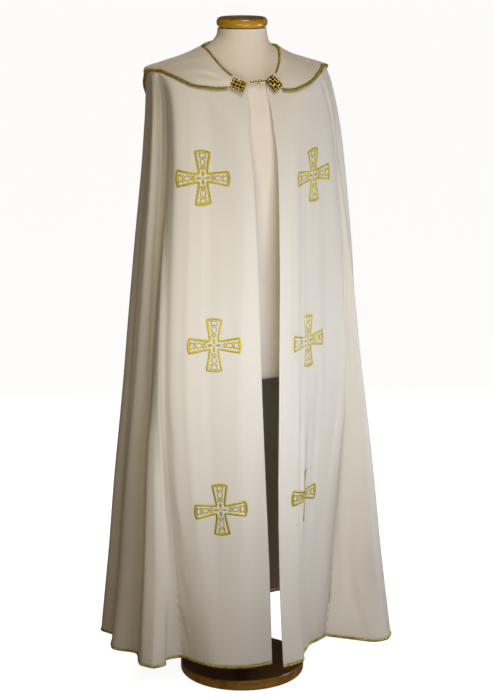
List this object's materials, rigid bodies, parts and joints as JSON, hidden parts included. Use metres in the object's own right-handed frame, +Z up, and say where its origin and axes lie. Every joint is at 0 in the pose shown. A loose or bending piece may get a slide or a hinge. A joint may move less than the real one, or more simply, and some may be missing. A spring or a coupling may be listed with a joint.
{
  "type": "cope vestment on a dress form",
  "caption": "Full-length open-fronted cream cope with a capelet, gold braid and a brass clasp, worn by a limbless dress form on a wooden base.",
  "frame": {"origin": "centre of the base disc's flat underside, on the pole's axis", "axes": "+Z up along the pole, -Y towards the open front of the cope, -X towards the wearer's right"},
  "size_m": [0.6838, 0.5384, 1.6],
  "materials": {
    "cope_cloth": "matt cream wool-blend plain weave",
    "capelet_satin": "cream cloth with a slight satin sheen",
    "gold_braid": "twisted metallic gold thread",
    "clasp_brass": "cast filigree, darkened in the hollows",
    "form_linen": "natural linen stretched over the form",
    "cap_wood": "turned and varnished, golden",
    "stand_wood": "dark stained and satin varnished"
  },
  "bodies": {
    "root": {"cope_front_right": "cope_cloth", "cope_front_left": "cope_cloth", "cope_body": "cope_cloth", "capelet": "capelet_satin", "capelet_neck_braid": "gold_braid", "capelet_edge_braid": "gold_braid", "hem_braid": "gold_braid", "clasp_plate_right": "clasp_brass", "clasp_plate_left": "clasp_brass", "clasp_link_1": "clasp_brass", "clasp_link_2": "clasp_brass", "clasp_link_3": "clasp_brass", "clasp_link_4": "clasp_brass", "clasp_heart_hook": "clasp_brass", "clasp_link_5": "clasp_brass", "form_bust": "form_linen", "form_neck_cap": "cap_wood", "form_pole": "stand_wood", "form_base": "stand_wood"}
  },
  "joints": []
}
